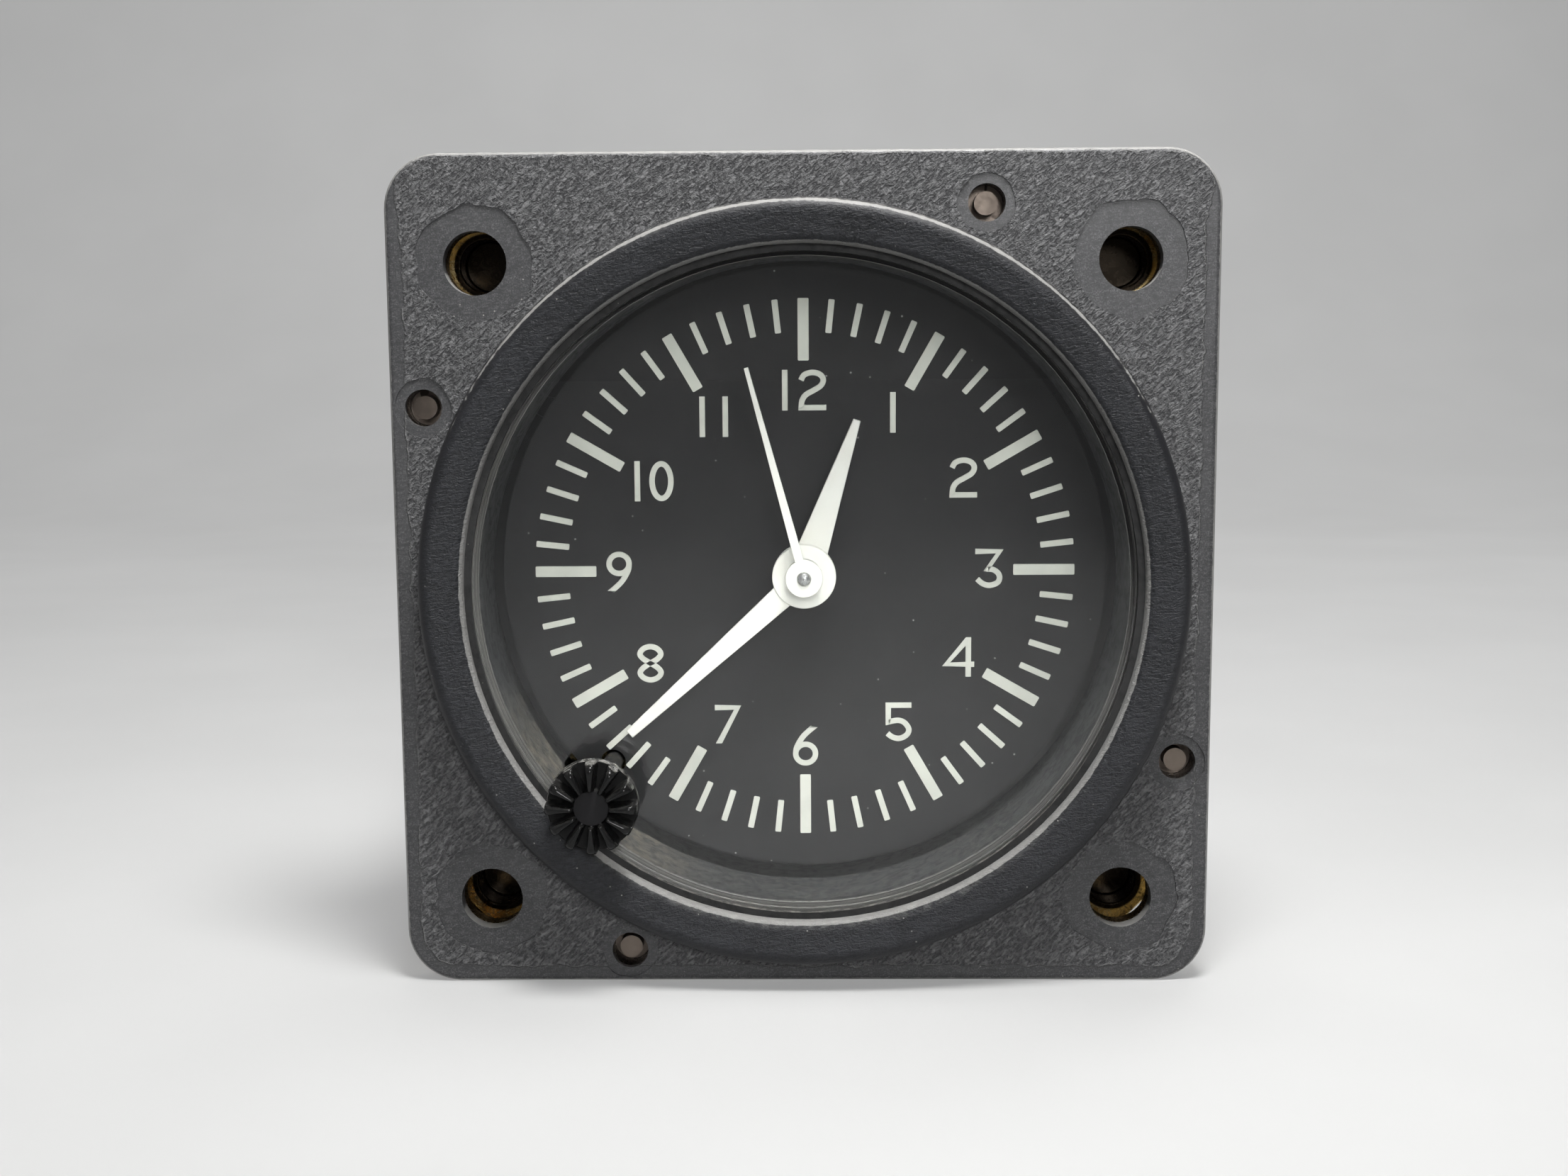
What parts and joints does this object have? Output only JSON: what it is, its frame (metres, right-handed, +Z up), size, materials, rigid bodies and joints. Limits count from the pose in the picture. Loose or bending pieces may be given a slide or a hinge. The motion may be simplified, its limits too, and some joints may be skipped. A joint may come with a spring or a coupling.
{
  "type": "panel clock",
  "caption": "Analogue quartz panel clock for an aircraft: square flange, raised round bezel, black dial with white hands, setting knob, round case with rear connector.",
  "frame": {"origin": "centre of the four panel holes on the front face of the flange, on the instrument axis", "axes": "-Y out of the dial towards the viewer, +X to the right of the viewer, +Z up towards twelve o'clock"},
  "size_m": [0.0602, 0.0585, 0.0614],
  "materials": {
    "textured_black_paint": "textured semi-gloss black paint on cast aluminium",
    "satin_black_paint": "satin black paint",
    "black_rubber": "matt rubber",
    "clear_glass": "clear polished",
    "dark_anodised": "dark anodised with turned lines",
    "bright_brass": "turned",
    "browned_steel": "browned",
    "bright_steel": "bright",
    "dial_black": "matt black",
    "mark_white": "printed off-white",
    "hand_white": "matt white paint",
    "plate_brass": "milled",
    "soft_iron": "annealed",
    "magnet_steel": "ground",
    "pale_plastic": "moulded",
    "copper_wire": "enamelled copper",
    "board_green": "solder mask",
    "chip_black": "moulded",
    "capacitor_sleeve": "shrink sleeve",
    "connector_plastic": "moulded",
    "gold_plate": "gold plated",
    "spring_bronze": "rolled",
    "gloss_black_plastic": "moulded gloss"
  },
  "bodies": {
    "housing": {"bezel": "textured_black_paint", "glass_gasket": "black_rubber", "glass": "clear_glass", "reflector_ring": "dark_anodised", "screw_inserts": "bright_brass", "bezel_screws": "browned_steel", "panel_nuts": "bright_brass", "nut_clips": "bright_brass", "case": "satin_black_paint", "rear_cover": "satin_black_paint", "cover_screws": "bright_steel", "dial": "dial_black", "dial_marks": "mark_white", "dial_feet": "bright_steel", "foot_nuts": "bright_steel", "front_plate": "plate_brass", "centre_bush": "bright_brass", "plate_screws": "bright_steel", "rear_plate": "plate_brass", "plate_pillars": "plate_brass", "board_spacers": "pale_plastic", "movement_screws": "bright_steel", "motion_post": "bright_steel", "stator": "soft_iron", "coil_core": "soft_iron", "coil_bobbin": "pale_plastic", "coil_winding": "copper_wire", "stator_screws": "bright_steel", "circuit_board": "board_green", "quartz_crystal": "bright_steel", "driver_chip": "chip_black", "link_header": "chip_black", "power_board": "board_green", "power_screws": "bright_steel", "regulator": "chip_black", "capacitors": "capacitor_sleeve", "connector_shell": "bright_steel", "connector_insert": "connector_plastic", "connector_contacts": "gold_plate", "jack_posts": "bright_steel", "glass_bush": "bright_brass", "shaft_seal": "black_rubber", "guide_pin": "bright_steel"},
    "seconds": {"second_hand": "hand_white", "second_arbor": "bright_steel", "second_wheel": "bright_brass"},
    "minutes": {"minute_hand": "hand_white", "minute_tube": "bright_steel", "clutch_spring": "spring_bronze"},
    "hours": {"hour_hand": "hand_white", "hour_wheel": "bright_brass"},
    "centre": {"centre_wheel": "bright_brass"},
    "third": {"third_wheel": "bright_brass"},
    "intermediate": {"intermediate_wheel": "bright_brass"},
    "rotor": {"rotor": "magnet_steel"},
    "motion": {"motion_wheel": "bright_brass"},
    "yoke": {"setting_yoke": "bright_brass"},
    "knob": {"setting_knob": "gloss_black_plastic", "setting_shaft": "bright_steel", "setting_pinion": "bright_brass"}
  },
  "joints": [
    {"name": "second_spin", "type": "hinge", "parent": "housing", "child": "seconds", "pos_m": [0, 0, 0], "axis": [0, 1, 0], "continuous": true},
    {"name": "minute_spin", "type": "hinge", "parent": "housing", "child": "minutes", "pos_m": [0, 0, 0], "axis": [0, 1, 0], "continuous": true},
    {"name": "hour_spin", "type": "hinge", "parent": "housing", "child": "hours", "pos_m": [0, 0, 0], "axis": [0, 1, 0], "continuous": true},
    {"name": "centre_spin", "type": "hinge", "parent": "housing", "child": "centre", "pos_m": [0, 0, 0], "axis": [0, 1, 0], "continuous": true},
    {"name": "third_spin", "type": "hinge", "parent": "housing", "child": "third", "pos_m": [0, 0, 0.0117], "axis": [0, 1, 0], "continuous": true},
    {"name": "intermediate_spin", "type": "hinge", "parent": "housing", "child": "intermediate", "pos_m": [0.0114, 0, 0], "axis": [0, 1, 0], "continuous": true},
    {"name": "rotor_spin", "type": "hinge", "parent": "housing", "child": "rotor", "pos_m": [0.01006, 0, -0.00758], "axis": [0, 1, 0], "continuous": true},
    {"name": "motion_spin", "type": "hinge", "parent": "housing", "child": "motion", "pos_m": [-0.00632, 0, -0.00841], "axis": [0, 1, 0], "continuous": true},
    {"name": "knob_pull", "type": "slide", "parent": "housing", "child": "yoke", "axis": [0, -1, 0], "range_m": [0, 0.0018]},
    {"name": "knob_turn", "type": "hinge", "parent": "yoke", "child": "knob", "pos_m": [-0.01535, 0, -0.01535], "axis": [0, 1, 0], "continuous": true}
  ],
  "couplings": [
    {"joint": "intermediate_spin", "follows": "second_spin", "ratio": -5},
    {"joint": "rotor_spin", "follows": "second_spin", "ratio": 30},
    {"joint": "third_spin", "follows": "second_spin", "ratio": -0.125},
    {"joint": "centre_spin", "follows": "second_spin", "ratio": 0.016667},
    {"joint": "motion_spin", "follows": "minute_spin", "ratio": -0.33333},
    {"joint": "hour_spin", "follows": "minute_spin", "ratio": 0.083333},
    {"joint": "knob_turn", "follows": "minute_spin", "ratio": 0.75}
  ]
}
